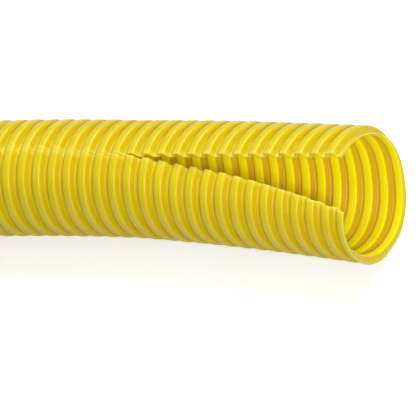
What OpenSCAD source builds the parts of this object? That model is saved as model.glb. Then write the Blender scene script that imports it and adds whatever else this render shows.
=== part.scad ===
// Slit corrugated conduit: one cut length of annularly ribbed plastic tube,
// split along one side so that cables can be laid in from the side.
// It lies on the floor as it comes off a coil, in a gentle bow. At the +X end
// the slit gapes and the tube springs wider; towards -X it lies closed. The cut
// at the +X end isn't square: it follows the valley behind the first rib, and
// crosses that rib where it comes up to the slit's lower lip.
// Each rib is a hollow ring, and a plain ring of wall joins it to the next.

/* [Section] */
// Outside diameter over the ribs, where the slit lies closed
outside_d = 32; // [24:0.5:44]
// Height of a rib above the outside of the plain wall between ribs
rib_depth = 1.9; // [1.5:0.1:2.6]
// Thickness of the wall on a rib's crest and between two ribs
wall = 0.5; // [0.4:0.05:0.8]
// Thickness of the wall on a rib's two flanks
flank_wall = 0.5; // [0.4:0.05:0.7]

/* [Ribs] */
// Number of ribs in the cut length
rib_count = 60; // [24:1:72]
// Distance from one rib to the next
pitch = 5.1; // [4.6:0.1:6.5]
// Width of the flat top of a rib
crest_w = 2.4; // [1.9:0.1:2.7]
// Width of each sloping flank, from the crest down to the wall
flank_w = 0.6; // [0.35:0.05:0.7]
// Plain wall that is left outside the first and the last rib
end_stub = 0.4; // [0.3:0.1:0.8]

/* [Slit] */
// Gap between the two lips where the slit lies closed
slit_w = 0.4; // [0.3:0.1:2]
// Clock angle of the slit at the +X end, up from level on the -Y side
slit_turn = 56; // [40:1:90]
// Angle by which the slit winds on round the tube, from the +X end to the -X end
slit_twist = 46; // [0:1:90]
// Angle that the slit gapes at the +X end
gape_turn = 48; // [10:1:80]
// Length over which the gape closes
gape_len = 81; // [40:1:120]

/* [Cut at the +X end] */
// Width of the first rib's crest that is left at the slit's lower lip
lip_crest = 2.1; // [0.6:0.1:2.3]
// How much further the tube reaches at the slit's lower lip than at its upper lip
end_slant = 3; // [0:0.1:3.2]
// Where the cut starts to cross the rib, as a share of the way round from the lower lip
cross_from = 0.12; // [0:0.01:0.3]
// How much of the way round it takes to cross it
cross_share = 0.25; // [0.1:0.01:0.6]

/* [Bow] */
// Angle through which the cut length bows, from end to end
bow_turn = 26.5; // [12:0.5:40]
// Above 1, the tube straightens towards its +X end
bow_power = 1.5; // [1:0.1:2]
// Number of ribs at the -X end that stand in line
straight_ribs = 6; // [2:1:10]
// Rib under which the tube rests on the floor, counted from the +X end
rest_rib = 40; // [12:1:58]

/* [Hidden] */
$fn = 96;
colour = "gold";

// How far a rib's root stands proud of the plain ring that runs into it, and
// how far the plain rings' lips stand back from the ribs' lips
seat = 0.1;
lip_gap = 0.05;

closed_r = outside_d / 2;
crest_half = crest_w / 2;
foot_half = crest_half + flank_w;

// Each flank is one slope, from the crest down to its root, which is buried
// halfway into the plain wall.
root_half = foot_half + flank_w * wall / 2 / rib_depth;
plain_start = root_half - flank_wall + seat;
end_to_rib = foot_half + end_stub;
cut_len = (rib_count - 1) * pitch + 2 * end_to_rib;
bow_len = end_to_rib + (rib_count - straight_ribs) * pitch;
rest = min(rest_rib, rib_count - straight_ribs);

// Every function below takes a distance from the +X end, measured along the axis.

// The part of the gape that is left: 1 at the +X end and 0 where it has closed.
function gape_left(along) = max(0, 1 - along / gape_len);

// The gape's angle, on top of the closed slit's own.
function gape(along) = gape_turn * gape_left(along);

// A gaping ring keeps its length of wall, so its radius grows with its gape.
function crest_r(along) = closed_r * 360 / (360 - gape(along));
function wall_r(along) = crest_r(along) - rib_depth;

// Clock angles of the slit's middle and of its lips, up from level on the -Y side.
function slit_middle(along) = slit_turn + slit_twist * along / cut_len;
function half_slit(along) = gape(along) / 2 + slit_w / 2 / crest_r(along) * 180 / PI;

// Heading of the axis, seen from above, against its heading at the +X end.
function heading(along) = bow_turn * pow(min(1, along / bow_len), bow_power);

// The axis in plan: points half a pitch apart, from the first rib to the last.
step = pitch / 2;
function at(k) = end_to_rib + k * step;
function back(turn) = [-cos(turn), -sin(turn)];
last = 2 * (rib_count - 1);
axis_points = [for (k = 0, p = [0, 0]; k <= last;
    p = p + step * back(heading(at(k + 0.5))), k = k + 1) p];

// The tube lies on the second rib, the first whole one at the gaping end, and on
// the rest rib. Its plane of bow tips up about the axis at the rest rib, until the
// second rib only just meets the floor.
rest_turn = heading(at(2 * rest));
function about_rest(p) = let (v = p - axis_points[2 * rest])
    [v.x * cos(rest_turn) + v.y * sin(rest_turn), v.y * cos(rest_turn) - v.x * sin(rest_turn)];
second = 2;
rise = crest_r(at(second)) - closed_r;
tip_turn = asin(rise / about_rest(axis_points[second]).y);

// The chord from end to end lies along X.
chord = about_rest(axis_points[0]) - about_rest(axis_points[last]);
chord_turn = atan2(chord.y, chord.x);

// The +X end's edge, as a share of the way round from the lower to the upper lip:
// its angle in the ring's own plane, and its distance beyond the first rib's middle.
end_facets = 16;
shares = [for (i = [0:end_facets]) i / end_facets];
function ring_turn(share) = let (half = half_slit(at(0)))
    180 - slit_middle(at(0)) + half + share * (360 - 2 * half);
function edge_at(share) = lip_crest - crest_half
    - end_slant * max(0, min(1, (share - cross_from) / cross_share));

// Box of the lying tube in plan, taken over its ribs and the +X end's edge, for an
// origin at its middle.
function in_plan(k) = let (p = about_rest(axis_points[k]), y = p.y * cos(tip_turn))
    [p.x * cos(chord_turn) + y * sin(chord_turn), y * cos(chord_turn) - p.x * sin(chord_turn)];
function lean(k) = heading(at(k)) - rest_turn - chord_turn;
function edge_x(share) = let (a = lean(0), aside = -cos(ring_turn(share)) * sin(a), e = edge_at(share))
    in_plan(0).x + max(crest_r(at(0)) * aside + min(e, crest_half) * cos(a),
        wall_r(at(0)) * aside + e * cos(a));
function reach_x(k, side) = let (a = lean(k), out = k == last ? end_to_rib : crest_half)
    in_plan(k).x + side * max(crest_r(at(k)) * abs(sin(a)) + crest_half * cos(a),
        wall_r(at(k)) * abs(sin(a)) + out * cos(a));
function reach_y(k, side) = let (a = lean(k))
    in_plan(k).y + side * (crest_r(at(k)) * cos(a) + crest_half * abs(sin(a)));
ribs = [for (i = [0:rib_count - 1]) 2 * i];
high_x = max([for (share = shares) edge_x(share)]);
low_x = min([for (k = ribs) reach_x(k, -1)]);
mid_x = (high_x + low_x) / 2;
mid_y = (max([for (k = ribs) reach_y(k, 1)]) + min([for (k = ribs) reach_y(k, -1)])) / 2;

// Stands a ring, drawn round Z, at point k of the axis.
module place(k) {
    p = axis_points[k];
    translate([-mid_x, -mid_y, closed_r])
        rotate([0, 0, -chord_turn])
            rotate([tip_turn, 0, 0])
                rotate([0, 0, -rest_turn])
                    translate([p.x - axis_points[2 * rest].x, p.y - axis_points[2 * rest].y, 0])
                        rotate([0, 0, heading(at(k))])
                            rotate([90, 0, 90])
                                children();
}

// Turns a section, drawn with its radius along X, from lip to lip.
module split_ring(along, extra_gap) {
    half = half_slit(along) + extra_gap / crest_r(along) * 180 / PI;
    rotate_extrude(angle = 360 - 2 * half, start = 180 - slit_middle(along) + half)
        children();
}

// A rib: two flanks and a crest, open towards the bore.
module rib(along) {
    crest = crest_r(along);
    inside = crest - wall;
    root = wall_r(along) - wall / 2;
    split_ring(along, 0)
        polygon([
            [root, -root_half], [crest, -crest_half],
            [crest, crest_half], [root, root_half],
            [root, root_half - flank_wall], [inside, crest_half - flank_wall],
            [inside, flank_wall - crest_half], [root, flank_wall - root_half]]);
}

// A plain ring of wall between two heights along the axis.
module plain_wall(along, low, high) {
    split_ring(along, lip_gap)
        translate([wall_r(along) - wall, low])
            square([wall, high - low]);
}

// The tube with both its ends cut square.
module square_tube() {
    half_plain = pitch / 2 - plain_start;
    for (i = [0:rib_count - 1])
        place(2 * i) rib(at(2 * i));
    for (i = [0:rib_count - 2])
        place(2 * i + 1) plain_wall(at(2 * i + 1), -half_plain, half_plain);
    place(0) plain_wall(at(0), plain_start, end_to_rib);
    place(last) plain_wall(at(last), -end_to_rib, -plain_start);
}

// All that lies beyond the cut at the +X end: a fan of facets about the axis,
// drawn some way past the crests and raised to a flat top past the square end.
module beyond_cut() {
    past = 1.5;
    r = past * crest_r(at(0));
    mid = edge_at(1);
    top = end_to_rib + pitch;
    rim = [for (share = shares) let (a = ring_turn(share)) [r * cos(a), r * sin(a)]];
    cut = [for (i = [0:end_facets]) [rim[i].x, rim[i].y, mid + past * (edge_at(shares[i]) - mid)]];
    lid = [for (p = rim) [p.x, p.y, top]];
    n = end_facets + 1;
    fan = [for (i = [0:n - 1]) [2 * n, i, (i + 1) % n]];
    sides = [for (i = [0:n - 1]) let (next = (i + 1) % n) each [[i, n + i, n + next], [i, n + next, next]]];
    polyhedron(concat(cut, lid, [[0, 0, mid]]), concat(fan, sides, [[for (i = [n - 1:-1:0]) n + i]]));
}

module conduit() {
    color(colour)
        difference() {
            square_tube();
            place(0) beyond_cut();
        }
}

conduit();
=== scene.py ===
# %% [markdown]
# Slit corrugated conduit
#
# This is a lesson in making one piece: a length of yellow corrugated conduit,
# split along one side, lying on a pale floor with its slit gaping at one end.
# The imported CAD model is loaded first. It fixes every size and place, and the
# mesh made here takes its place in the picture.

# %% Load the frame
import bpy
import math
import numpy as np
from mathutils import Matrix, Vector


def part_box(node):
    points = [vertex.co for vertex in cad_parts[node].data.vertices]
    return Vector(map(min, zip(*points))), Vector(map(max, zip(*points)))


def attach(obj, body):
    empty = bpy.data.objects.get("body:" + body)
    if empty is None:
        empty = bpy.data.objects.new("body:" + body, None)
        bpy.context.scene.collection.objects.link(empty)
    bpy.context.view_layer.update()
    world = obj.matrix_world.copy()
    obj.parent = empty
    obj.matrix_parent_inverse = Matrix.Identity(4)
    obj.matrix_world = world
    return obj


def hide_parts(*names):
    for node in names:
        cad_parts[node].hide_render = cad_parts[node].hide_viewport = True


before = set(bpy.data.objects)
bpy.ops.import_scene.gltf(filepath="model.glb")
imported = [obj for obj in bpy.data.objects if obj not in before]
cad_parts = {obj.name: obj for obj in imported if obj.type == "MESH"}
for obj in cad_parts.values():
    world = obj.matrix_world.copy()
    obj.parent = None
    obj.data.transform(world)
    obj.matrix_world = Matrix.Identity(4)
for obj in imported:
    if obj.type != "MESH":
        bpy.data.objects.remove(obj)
cad_low, cad_high = (np.array(corner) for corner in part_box("conduit"))
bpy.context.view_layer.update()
print("CAD box, mm:", np.round(1000 * (cad_high - cad_low), 1))

# %% [markdown]
# The sizes below are the CAD source's own, in millimetres, because that is how
# the tube is sold and measured. The mesh is turned into metres at the very end.
# Only three differ: the slit is closed where the lips touch, the cut starts to
# cross the rib a little sooner, and it keeps a last slant for the back.

# %% The tube's sizes, in mm and degrees
MM = 0.001
CLOSED_R = 16.0        # outside radius over the ribs, where the slit is closed
RIB_DEPTH = 1.9        # from a rib's crest down to the wall between two ribs
WALL = 0.5             # thickness of the plastic
PITCH = 5.1            # from rib to rib
CREST_HALF = 1.2       # half the flat top of a rib
FLANK_W = 0.6          # width of a sloping flank
RIB_COUNT = 60
FOOT_HALF = CREST_HALF + FLANK_W
END_TO_RIB = FOOT_HALF + 0.4
CUT_LEN = (RIB_COUNT - 1) * PITCH + 2 * END_TO_RIB

SLIT_W = 0.06          # gap that is left between the lips where they touch
SLIT_TURN = 56.0       # clock angle of the slit's middle at the open end
SLIT_TWIST = 46.0      # how far the slit winds on round the tube
GAPE_TURN = 48.0       # angle that the slit gapes at the open end
GAPE_LEN = 81.0        # length over which the gape closes
LIP_CREST = 2.1        # width of the first rib's crest that the cut leaves at the lip
END_SLANT = 3.0        # how far the cut runs on, from the upper to the lower lip
CROSS_FROM = 0.1       # where the cut crosses the rib, as a share of the way round
CROSS_SHARE = 0.25     # how much of the way round it takes to cross it
LAST_SLANT = 0.7       # the part of the slant that is left for the back and the top

BOW_TURN = 26.5        # angle through which the cut length bows
BOW_POWER = 1.5
STRAIGHT_RIBS = 6
REST_RIB = 40          # the rib that carries the tube on the floor
BOW_LEN = END_TO_RIB + (RIB_COUNT - STRAIGHT_RIBS) * PITCH
print(f"cut length {CUT_LEN:.1f} mm, {RIB_COUNT} ribs")

# %% [markdown]
# The axis of the tube is a curve whose heading grows slowly from the open end.
# A curve like this can be drawn by hand, but a formula is better here: the ribs
# have to lie exactly one pitch apart along it.


# %% The axis, and a frame that travels along it
def turn_z(angle):
    """A matrix that turns about Z."""
    c, s = math.cos(angle), math.sin(angle)
    return np.array([[c, -s, 0], [s, c, 0], [0, 0, 1]])


def turn_x(angle):
    """A matrix that turns about X."""
    c, s = math.cos(angle), math.sin(angle)
    return np.array([[1, 0, 0], [0, c, -s], [0, s, c]])


def gape_left(along):
    """The share of the gape that is left: 1 at the open end, then falling in
    a straight line to 0 where the slit has closed."""
    return np.maximum(0, 1 - along / GAPE_LEN)


def crest_radius(along):
    """A gaping ring keeps its length of wall, so its radius is the closed one
    times 360 over 360 less the gape's angle."""
    return CLOSED_R * 360 / (360 - GAPE_TURN * gape_left(along))


def heading(along):
    """The bow's whole angle times the share of its length, to a power."""
    share = np.clip(along / BOW_LEN, 0, 1)
    return np.radians(BOW_TURN) * share**BOW_POWER


STATIONS = np.linspace(-1, CUT_LEN + 1, 6001)
step = STATIONS[1] - STATIONS[0]
middles = heading((STATIONS[1:] + STATIONS[:-1]) / 2)
plan = np.zeros((len(STATIONS), 3))
plan[1:, 0] = -np.cumsum(np.cos(middles)) * step
plan[1:, 1] = -np.cumsum(np.sin(middles)) * step


def plan_at(along):
    """A point of the axis in plan, by straight interpolation."""
    return np.stack([np.interp(along, STATIONS, plan[:, k]) for k in range(3)], -1)


rest_along = END_TO_RIB + REST_RIB * PITCH
rest_turn = heading(rest_along)
to_rest = turn_z(-rest_turn)
first = to_rest @ (plan_at(END_TO_RIB) - plan_at(rest_along))
last = to_rest @ (plan_at(CUT_LEN - END_TO_RIB) - plan_at(rest_along))
second = to_rest @ (plan_at(END_TO_RIB + PITCH) - plan_at(rest_along))
tip_turn = math.asin((crest_radius(END_TO_RIB + PITCH) - CLOSED_R) / second[1])
chord_turn = math.atan2(first[1] - last[1], first[0] - last[0])
LIE = turn_z(-chord_turn) @ turn_x(tip_turn) @ to_rest
print(f"the bow tips by {math.degrees(tip_turn):.2f} degrees as it lies")


def axis_frame(along):
    """Origin and the three directions of the travelling frame: along the axis
    towards the open end, level across it, and up from both."""
    turn = heading(along)
    zero, one = np.zeros_like(turn), np.ones_like(turn)
    origin = (plan_at(along) - plan_at(rest_along)) @ LIE.T
    forward = np.stack([np.cos(turn), np.sin(turn), zero], -1) @ LIE.T
    across = np.stack([-np.sin(turn), np.cos(turn), zero], -1) @ LIE.T
    up = np.stack([zero, zero, one], -1) @ LIE.T
    return origin, forward, across, up


# %% [markdown]
# Across the axis the tube is an open ring. Where the slit gapes it isn't quite
# round: the far side and the free lower flap draw in a little, as thin plastic
# does once it is cut open, and the lips close on a curve. Clock angles are
# counted up from level on the near side, so 90 is the top.


# %% The ring across the axis
def smooth(share):
    """An even S-curve: 3 shares squared less 2 cubed, held to 0..1."""
    share = np.clip(share, 0, 1)
    return share * share * (3 - 2 * share)


UPPER_POWER = 1.45     # above 1, a lip closes faster than the ring shrinks
LOWER_POWER = 1.9
MIDDLE_RISE = 0.7      # how far the slit's middle rises halfway along the gape
FLAP_BACK = 7.5        # how far the curled flap stands back at the open end


def lips(along, sprung=True):
    """Clock angles of the lower and the upper lip. Each stands off the slit's
    middle by its own angle, times the gape that is left to its own power. On
    the plain rings, both stand off by half the gape."""
    left = gape_left(along)
    middle = SLIT_TURN + SLIT_TWIST * along / CUT_LEN
    touch = np.degrees(SLIT_W / 2 / crest_radius(along))
    half = GAPE_TURN / 2
    if not sprung:
        return middle - touch - half * left, middle + touch + half * left
    middle = middle + MIDDLE_RISE * 4 * left * (1 - left)
    low = middle - touch - (half + FLAP_BACK) * left**LOWER_POWER
    return low, middle + touch + half * left**UPPER_POWER


FAR_DRAW = 2.3         # how far the far side draws in at the open end
FLAP_CURL = 2.9        # how far the lower lip curls in
FLAP_FROM = -25.0      # clock angle at which the curl begins


def drawn_in(along, clock):
    """How far a crest lies inside its plain circle. The far side follows a
    cosine to the fourth about clock angle 208, and the flap a square that grows
    from where the curl begins to the lip."""
    left = gape_left(along)
    low, _ = lips(along)
    clock = np.where(clock > low + 1, clock - 360, clock)
    far = np.maximum(np.cos(np.radians(clock + 152)), 0) ** 4
    share = np.clip((clock - FLAP_FROM) / (low - FLAP_FROM), 0, 1)
    return FAR_DRAW * left**0.7 * far + FLAP_CURL * smooth((left - 0.05) / 0.3) * share**2


def ring_point(along, clock, depth, draw=drawn_in):
    """A point of the ring, so deep below its crest's curve. Depth is taken
    square to the curve: the normal leans by the arctangent of the radius's
    change over the radius."""
    origin, _, across, up = axis_frame(along)
    radius = crest_radius(along) - draw(along, clock)
    change = (draw(along, clock - 0.5) - draw(along, clock + 0.5)) / math.radians(1)
    lean = np.arctan(change / radius)
    outward, onward = radius - depth * np.cos(lean), depth * np.sin(lean)
    c, t = np.cos(np.radians(clock)), np.sin(np.radians(clock))
    return (origin + (onward * t - outward * c)[..., None] * across
            + (onward * c + outward * t)[..., None] * up)


# %% [markdown]
# Along the axis the wall rises and falls in ribs. Each flank is a straight
# slope with two rounded corners, and the crest is very slightly domed, because
# hot plastic is blown into the mould's grooves and never fills them sharply.


# %% The ribs along the axis
CORNER = 0.22          # rounding of a flank's corners, as a share of its width
DOME = 0.07            # how much a crest's middle stands above its edges


def slope(share, soft=CORNER):
    """A ramp from 0 to 1 whose two corners are rounded: half the difference of
    two hyperbolas, one about each end of the slope."""
    return (np.hypot(share, soft) - np.hypot(share - 1, soft) + 1) / 2


def to_rib(along):
    """Signed distance from the middle of the nearest rib."""
    number = np.clip(np.round((along - END_TO_RIB) / PITCH), 0, RIB_COUNT - 1)
    return along - (END_TO_RIB + number * PITCH)


def below_crest(along):
    """How far the outer skin lies below the crest's circle."""
    w = np.abs(to_rib(along))
    dome = DOME * np.minimum(1, w / CREST_HALF) ** 2
    return dome + (RIB_DEPTH - DOME) * slope((w - CREST_HALF) / FLANK_W)


def inner_shift(along):
    """How far along the axis the inner skin's point lies from the outer one's:
    half a millimetre towards the rib's middle on a flank, fading to nothing at
    the middle of the crest and of the plain wall."""
    w = to_rib(along)
    knots = [0, CREST_HALF, FOOT_HALF, PITCH / 2]
    inside = [0, CREST_HALF - WALL, FOOT_HALF - WALL, PITCH / 2]
    return np.sign(w) * (np.interp(np.abs(w), knots, inside) - np.abs(w))


# %% [markdown]
# The piece is one closed skin: an outer grid, an inner grid, and narrow rims
# that join them along the lips and round the ends. The open end was cut by
# hand, and the cut wanders on by most of a rib from the upper to the lower
# lip. So the first rows of the grid lean with the cut, and the rest follow the
# ribs.


# %% Rows and columns of the grid
ROUND = 62             # columns round the ring
LIP_STEP = 0.3         # first column's distance from a lip, in mm
FINE_ROWS = 84         # leaning rows at the open end
FINE_TO = END_TO_RIB + 1.5 * PITCH
NEAR_RIBS = 24         # ribs whose corners get more rows

near = np.array([0.0, 0.75, 1.06, 1.2, 1.36, 1.64, 1.8, 1.96])
far = np.array([0.0, 1.15, 1.85])


def rib_rows(half):
    """Row distances over one rib, from its middle out to both sides."""
    return np.concatenate([-half[:0:-1], half, [PITCH / 2]])


rows = [END_TO_RIB + k * PITCH + rib_rows(near) for k in range(2, NEAR_RIBS)]
rows += [END_TO_RIB + k * PITCH + rib_rows(far) for k in range(NEAR_RIBS, RIB_COUNT)]
rows = np.concatenate(rows)
rows = np.append(rows[rows < CUT_LEN - 0.05], CUT_LEN)

perimeter = 2 * math.pi * CLOSED_R
v = np.linspace(0, 1, ROUND)
v = np.insert(v, [1, ROUND - 1], [LIP_STEP / perimeter, 1 - LIP_STEP / perimeter])
cut = FOOT_HALF + 0.4 + CREST_HALF - LIP_CREST
crossed = np.clip((v - CROSS_FROM) / CROSS_SHARE, 0, 1)
cut = cut + (END_SLANT - LAST_SLANT) * crossed
cut = cut + LAST_SLANT * smooth((v - 0.5) / 0.5)
fine = np.linspace(0, 1, FINE_ROWS)[:, None] * (FINE_TO - cut) + cut
along = np.vstack([fine, np.repeat(rows[:, None], len(v), 1)])
print(f"{along.shape[0]} rows by {along.shape[1]} columns")

# %% [markdown]
# Each point of the grid is used four times, from the outer skin to the inner
# one. The two layers between them only count at the edges, where they stand
# out a little further than the skins and so round the cut.

# %% Points through the wall
RIM = 0.09             # how much an edge is rounded, in mm
DEPTHS = np.array([0, 0.22, 0.78, 1])


def conduit_points(sprung):
    """Row, column and layer to a point. The along value shifts through the
    wall on the flanks, and the clock angle runs from lip to lip."""
    edge_a = np.minimum((along - cut) / 0.8, (CUT_LEN - along) / 0.5)
    shift = inner_shift(along) * smooth(edge_a)
    a = along[..., None] + shift[..., None] * DEPTHS
    skin = np.isin(DEPTHS, [0, 1]) * RIM
    a[0] += skin
    a[-1] -= skin
    low, high = lips(a, sprung)
    arc = np.radians(360 - (high - low)) * crest_radius(a)
    share = np.repeat(v[None, :, None], a.shape[0], 0) + np.zeros_like(a)
    share[:, 0] += skin / arc[:, 0]
    share[:, -1] -= skin / arc[:, -1]
    clock = low - share * (360 - (high - low))
    depth = below_crest(along)[..., None] + WALL * DEPTHS
    return ring_point(a, clock, depth, drawn_in if sprung else lambda *_: 0)


points, plain = conduit_points(True), conduit_points(False)
print("points:", points.shape)


# %% [markdown]
# The tube is placed as the CAD model is: its square far end and the middle of
# its width line up with the CAD box, and its rest rib stands on the floor. The
# box is that of the plain rings, before the far side, the flap and the lips
# spring.

# %% Place the tube in the CAD frame
low, high = plain.min((0, 1, 2)), plain.max((0, 1, 2))
shift = (cad_low + cad_high) / 2 / MM - (low + high) / 2
shift[0] = cad_low[0] / MM - low[0]
shift[2] = CLOSED_R
points = (points + shift) * MM
print("box of the plain rings, mm:", np.round(high - low, 1))
print("moved by, mm:", np.round(shift, 2))


# %% [markdown]
# A slab of points has six sides. Listing each side's squares in the same turn
# closes the skin, and one look at the volume's sign says whether all faces
# point outwards.


# %% Close the skin
def side(numbers, flip):
    """Squares between neighbouring numbers of a two-way table."""
    a, b = numbers[:-1, :-1], numbers[1:, :-1]
    c, d = numbers[1:, 1:], numbers[:-1, 1:]
    quads = np.stack([a, b, c, d], -1).reshape(-1, 4)
    return quads[:, ::-1] if flip else quads


def slab_faces(shape):
    """The squares on all six sides of a slab of points."""
    n = np.arange(np.prod(shape)).reshape(shape)
    return np.concatenate([
        side(n[:, :, -1], False), side(n[:, :, 0], True),
        side(n[-1], False), side(n[0], True),
        side(n[:, -1].T, False), side(n[:, 0].T, True)])


def volume(xyz, quads):
    """Sum of the signed wedges between each face and the origin."""
    a, b, c, d = (xyz[quads[:, k]] for k in range(4))
    wedge = np.cross(b - a, c - a) + np.cross(c - a, d - a)
    return np.einsum("ij,ij->", a, wedge) / 6


faces = slab_faces(points.shape[:3])
flat = points.reshape(-1, 3)
if volume(flat, faces) < 0:
    faces = faces[:, ::-1]
used, faces = np.unique(faces, return_inverse=True)
faces = faces.reshape(-1, 4)
print(f"{len(faces)} faces, {volume(flat[used], faces) * 1e6:.1f} cm3")


# %% [markdown]
# Three measures go with the mesh, for the material: how near a point is to a
# cut edge, whether it is on the inner skin, and how deep it lies in a groove.


# %% Make the mesh
def near_edge():
    """1 on a cut edge, falling in a straight line to 0 within 0.9 mm."""
    arc = v * perimeter
    beside = np.minimum(arc, perimeter - arc)[None, :]
    ends = np.minimum(along - cut, CUT_LEN - along)
    return np.clip(1 - np.minimum(beside, ends) / 0.9, 0, 1)


def make_piece(name, xyz, quads, measures):
    """A mesh object from points and squares, with one float per point for each
    measure."""
    mesh = bpy.data.meshes.new(name)
    mesh.from_pydata(xyz, [], quads)
    mesh.shade_smooth()
    for key, values in measures.items():
        layer = mesh.attributes.new(key, "FLOAT", "POINT")
        layer.data.foreach_set("value", values.astype(np.float32))
    piece = bpy.data.objects.new(name, mesh)
    bpy.context.scene.collection.objects.link(piece)
    return piece


layers = np.ones(points.shape[:3])
measures = {
    "cut_edge": (near_edge()[..., None] * layers).ravel()[used],
    "inner_skin": (DEPTHS * layers).ravel()[used],
    "groove": (below_crest(along)[..., None] / RIB_DEPTH * layers).ravel()[used],
}
tube = make_piece("slit_corrugated_tube", flat[used], faces, measures)
print("piece:", tube.name, len(tube.data.vertices), "vertices")

# %% [markdown]
# The plastic is yellow polyethylene with a soft gloss, a fine grain from the
# mould, and slow swells of colour where the wall is thicker. Light and shade are
# painted on as well: painted shade in the grooves between the crests outside, a
# paler painted highlight along the cut edges, and inside a painted highlight on
# the ridges with painted shade in the hollows between them. A weak painted glow
# on the inner skin stands for the light that seeps through half a millimetre of
# plastic.


# %% A node group for the grain of moulded plastic
def new_group(name, inputs, outputs):
    """An empty shader group with named float or colour sockets."""
    group = bpy.data.node_groups.new(name, "ShaderNodeTree")
    kinds = {"float": "NodeSocketFloat", "color": "NodeSocketColor",
             "vector": "NodeSocketVector"}
    for label, kind in inputs:
        group.interface.new_socket(label, in_out="INPUT", socket_type=kinds[kind])
    for label, kind in outputs:
        group.interface.new_socket(label, in_out="OUTPUT", socket_type=kinds[kind])
    return group


def add(tree, kind, values=(), **settings):
    """A node, with its settings and the values of its unlinked inputs."""
    node = tree.nodes.new(kind)
    for key, value in settings.items():
        setattr(node, key, value)
    for key, value in dict(values).items():
        node.inputs[key].default_value = value
    return node


def moulded_grain():
    """Fine pits and slow swells: two noises on Object coordinates, one of them
    turned into a height for a bump and one into a mask."""
    g = new_group("moulded_grain",
                  [("Grain size", "float"), ("Swell size", "float")],
                  [("Height", "float"), ("Swell", "float")])
    enter, leave = add(g, "NodeGroupInput"), add(g, "NodeGroupOutput")
    where = add(g, "ShaderNodeTexCoord")
    fine = add(g, "ShaderNodeTexNoise", {"Detail": 3.0, "Roughness": 0.6})
    slow = add(g, "ShaderNodeTexNoise", {"Detail": 2.0, "Roughness": 0.5})
    per_grain = add(g, "ShaderNodeMath", {0: 1.0}, operation="DIVIDE")
    per_swell = add(g, "ShaderNodeMath", {0: 1.0}, operation="DIVIDE")
    link = g.links.new
    link(enter.outputs["Grain size"], per_grain.inputs[1])
    link(enter.outputs["Swell size"], per_swell.inputs[1])
    link(per_grain.outputs[0], fine.inputs["Scale"])
    link(per_swell.outputs[0], slow.inputs["Scale"])
    link(where.outputs["Object"], fine.inputs["Vector"])
    link(where.outputs["Object"], slow.inputs["Vector"])
    link(fine.outputs["Fac"], leave.inputs["Height"])
    link(slow.outputs["Fac"], leave.inputs["Swell"])
    return g


grain_group = moulded_grain()
print("group:", grain_group.name)


# %% The yellow plastic
def rgb(red, green, blue):
    """A colour as it is seen on a screen, 0 to 255, made linear."""
    c = np.array([red, green, blue]) / 255
    c = np.where(c <= 0.04045, c / 12.92, ((c + 0.055) / 1.055) ** 2.4)
    return (*c.tolist(), 1.0)


def mix(tree, first, second, factor):
    """A colour between two. Each of them is a socket or a fixed colour, and the
    factor is a socket."""
    node = add(tree, "ShaderNodeMix", data_type="RGBA")
    tree.links.new(factor, node.inputs["Factor"])
    for key, colour in (("A", first), ("B", second)):
        if isinstance(colour, tuple):
            node.inputs[key].default_value = colour
        else:
            tree.links.new(colour, node.inputs[key])
    return node.outputs["Result"]


def ramp(tree, value, start, end, low=0.0, high=1.0):
    """A straight ramp from low to high while the value goes from start to end,
    and level outside it."""
    node = add(tree, "ShaderNodeMapRange", {1: start, 2: end, 3: low, 4: high})
    tree.links.new(value, node.inputs["Value"])
    return node.outputs["Result"]


def measure(tree, name):
    """The socket of one of the mesh's own measures."""
    return add(tree, "ShaderNodeAttribute", attribute_name=name).outputs["Fac"]


GRAIN_SIZE = 0.0012        # metres
SWELL_SIZE = 0.011         # metres
LIGHT_YELLOW, PALE_YELLOW = rgb(221, 198, 14), rgb(230, 209, 18)
# Painted shade: the grooves outside are darker than the crests.
GROOVE_SHADE_YELLOW = rgb(217, 191, 6)
# Painted light and shade inside: the ridges lighter, the hollows between them darker.
HOLLOW_SHADE_YELLOW, RIDGE_LIT_YELLOW = rgb(214, 184, 28), rgb(255, 236, 10)
# Painted highlight: the cut edges turn paler.
EDGE_HIGHLIGHT_YELLOW = rgb(245, 234, 96)
EDGE_HIGHLIGHT = 0.55              # how strongly a cut edge shows
# Painted glow: the inner skin gives off a little light of its own.
PAINTED_GLOW = 0.08                # strength of the glow inside


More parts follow.
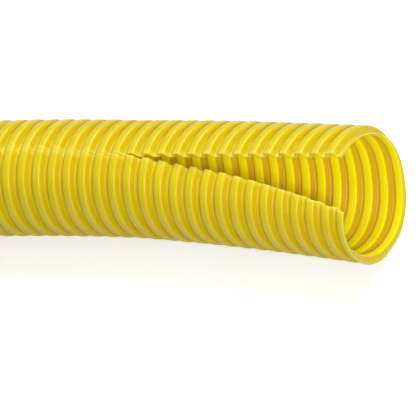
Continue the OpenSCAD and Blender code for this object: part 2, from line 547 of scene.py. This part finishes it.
def yellow_plastic():
    """Crest colour, painted shade in the grooves, painted light and shade inside,
    a painted highlight on the cut edges, the grain and a painted glow feed one
    Principled shader."""
    material = bpy.data.materials.new("yellow_plastic")
    material.use_nodes = True
    tree = material.node_tree
    tree.nodes.clear()
    link = tree.links.new
    grain = add(tree, "ShaderNodeGroup", node_tree=grain_group)
    grain.inputs["Grain size"].default_value = GRAIN_SIZE
    grain.inputs["Swell size"].default_value = SWELL_SIZE
    swell, groove = grain.outputs["Swell"], measure(tree, "groove")
    inside = measure(tree, "inner_skin")

    crest = mix(tree, LIGHT_YELLOW, PALE_YELLOW, swell)
    # Painted shade, deepening from the crest down into the groove.
    outer = mix(tree, crest, GROOVE_SHADE_YELLOW, ramp(tree, groove, 0.05, 0.4))
    # Painted highlight on the ridges inside, painted shade in the hollows between them.
    inner = mix(tree, HOLLOW_SHADE_YELLOW, RIDGE_LIT_YELLOW, ramp(tree, groove, 0.72, 0.98))
    skin = mix(tree, outer, inner, inside)
    # Painted highlight along the cut edges.
    edge_highlight = ramp(tree, measure(tree, "cut_edge"), 0, 1, 0, EDGE_HIGHLIGHT)

    shader = add(tree, "ShaderNodeBsdfPrincipled",
                 {"IOR": 1.5, "Specular IOR Level": 0.4, "Subsurface Weight": 0.6,
                  "Subsurface Scale": 0.0012, "Emission Strength": PAINTED_GLOW})
    shader.inputs["Subsurface Radius"].default_value = (1.0, 0.8, 0.05)
    bump = add(tree, "ShaderNodeBump", {"Strength": 0.25, "Distance": 0.00012})
    link(grain.outputs["Height"], bump.inputs["Height"])
    link(mix(tree, skin, EDGE_HIGHLIGHT_YELLOW, edge_highlight), shader.inputs["Base Color"])
    # Painted glow on the inner skin, in the inside colours.
    link(mix(tree, (0, 0, 0, 1), inner, inside), shader.inputs["Emission Color"])
    link(ramp(tree, swell, 0, 1, 0.34, 0.5), shader.inputs["Roughness"])
    link(bump.outputs["Normal"], shader.inputs["Normal"])
    out = add(tree, "ShaderNodeOutputMaterial")
    link(shader.outputs["BSDF"], out.inputs["Surface"])
    return material


tube.data.materials.append(yellow_plastic())
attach(tube, "root")
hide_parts("conduit")

# %% [markdown]
# The camera looks down on the open end from a long way off, so that the far
# ribs shrink only a little, and it is rolled so that the tube lies level in
# the picture.

# %% The camera
VIEW_AZIMUTH = 0.6599      # radians, from straight behind the near side
VIEW_HEIGHT = 0.6549       # radians above the floor
VIEW_ROLL = 0.51           # radians
VIEW_FROM = 1656.0         # mm from the last whole rib
AIM_LEFT, AIM_BELOW = 39.5, 4.3   # mm from that rib to the middle of the picture
LENS = 538.7

sa, ca = math.sin(VIEW_AZIMUTH), math.cos(VIEW_AZIMUTH)
se, ce = math.sin(VIEW_HEIGHT), math.cos(VIEW_HEIGHT)
view_dir = np.array([-sa * ce, ca * ce, -se])
level = np.array([ca, sa, 0.0])
fall = np.cross(view_dir, level)
right = math.cos(VIEW_ROLL) * level + math.sin(VIEW_ROLL) * fall
down = -math.sin(VIEW_ROLL) * level + math.cos(VIEW_ROLL) * fall
whole_rib = axis_frame(np.array(END_TO_RIB + PITCH))[0] + shift
aim = whole_rib - AIM_LEFT * right + AIM_BELOW * down
eye = aim - VIEW_FROM * view_dir

camera_data = bpy.data.cameras.new("camera")
camera_data.lens = LENS
camera_data.clip_end = 20
camera = bpy.data.objects.new("camera", camera_data)
bpy.context.scene.collection.objects.link(camera)
pose = np.eye(4)
pose[:3, :3] = np.stack([right, -down, -view_dir], 1)
pose[:3, 3] = eye * MM
camera.matrix_world = Matrix(pose.tolist())
bpy.context.scene.camera = camera
print("camera at, mm:", np.round(eye, 1))

# %% [markdown]
# Soft studio light: a small lamp close to the camera's line reaches into the
# bore, a large one from above lights the crests, and the surroundings fill in.
# The floor is white to look at and in a gloss, and keeps the tube's shadow, but
# it throws less light on the tube than white paper would.


# %% Lamps and surroundings
LAMP_AWAY = 1.2            # metres from the middle of the picture
SKY = 0.25                 # strength of the surroundings' light


def area_lamp(name, toward, size, power):
    """A square lamp that stands off on the given side and faces the tube."""
    data = bpy.data.lights.new(name, "AREA")
    data.size = size
    data.energy = power
    lamp = bpy.data.objects.new(name, data)
    bpy.context.scene.collection.objects.link(lamp)
    toward = Vector(toward).normalized()
    lamp.location = Vector((aim * MM).tolist()) + LAMP_AWAY * toward
    lamp.rotation_euler = toward.to_track_quat("Z", "Y").to_euler()
    return lamp


back = -view_dir
area_lamp("front", 0.08 * right + 0.06 * down + back, 0.2, 9.8)
area_lamp("key", -0.1 * right - down + 0.3 * back, 0.6, 9.8)

world = bpy.data.worlds.new("studio")
bpy.context.scene.world = world
world.use_nodes = True
tree = world.node_tree
surround = tree.nodes["Background"]
surround.inputs["Color"].default_value = (1, 1, 1, 1)
seen = add(tree, "ShaderNodeLightPath").outputs["Is Camera Ray"]
tree.links.new(ramp(tree, seen, 0, 1, SKY, 1), surround.inputs["Strength"])
print("lamps and surroundings are in place")


# %% The floor
FLOOR_HALF = 3.0           # half a side, in metres
FLOOR_UNDER = 0.0002       # how far it lies below the tube, in metres
FLOOR_WHITE = (0.95, 0.95, 0.95, 1)
FLOOR_THROWN = (0.25, 0.24, 0.2, 1)
FLOOR_GLOW = 0.42


def seen_directly(tree):
    """1 for rays from the camera, a gloss or a clear piece, and 0 for the light
    that the floor throws on the tube."""
    path = add(tree, "ShaderNodeLightPath")
    first = add(tree, "ShaderNodeMath", operation="MAXIMUM")
    both = add(tree, "ShaderNodeMath", operation="MAXIMUM")
    tree.links.new(path.outputs["Is Camera Ray"], first.inputs[0])
    tree.links.new(path.outputs["Is Glossy Ray"], first.inputs[1])
    tree.links.new(first.outputs[0], both.inputs[0])
    tree.links.new(path.outputs["Is Transmission Ray"], both.inputs[1])
    return both.outputs[0]


floor_mesh = bpy.data.meshes.new("floor")
corners = FLOOR_HALF * np.array([[-1, -1], [1, -1], [1, 1], [-1, 1]])
floor_mesh.from_pydata([(x, y, -FLOOR_UNDER) for x, y in corners], [], [(0, 1, 2, 3)])
floor = bpy.data.objects.new("floor", floor_mesh)
bpy.context.scene.collection.objects.link(floor)
paper = bpy.data.materials.new("white_paper")
paper.use_nodes = True
tree = paper.node_tree
shader = tree.nodes["Principled BSDF"]
shader.inputs["Roughness"].default_value = 0.9
shader.inputs["Emission Color"].default_value = (1, 1, 1, 1)
direct = seen_directly(tree)
thrown = mix(tree, FLOOR_THROWN, FLOOR_WHITE, direct)
tree.links.new(thrown, shader.inputs["Base Color"])
tree.links.new(ramp(tree, direct, 0, 1, 0, FLOOR_GLOW), shader.inputs["Emission Strength"])
floor_mesh.materials.append(paper)
bpy.context.scene.view_settings.view_transform = "Standard"
print("the floor is in place")
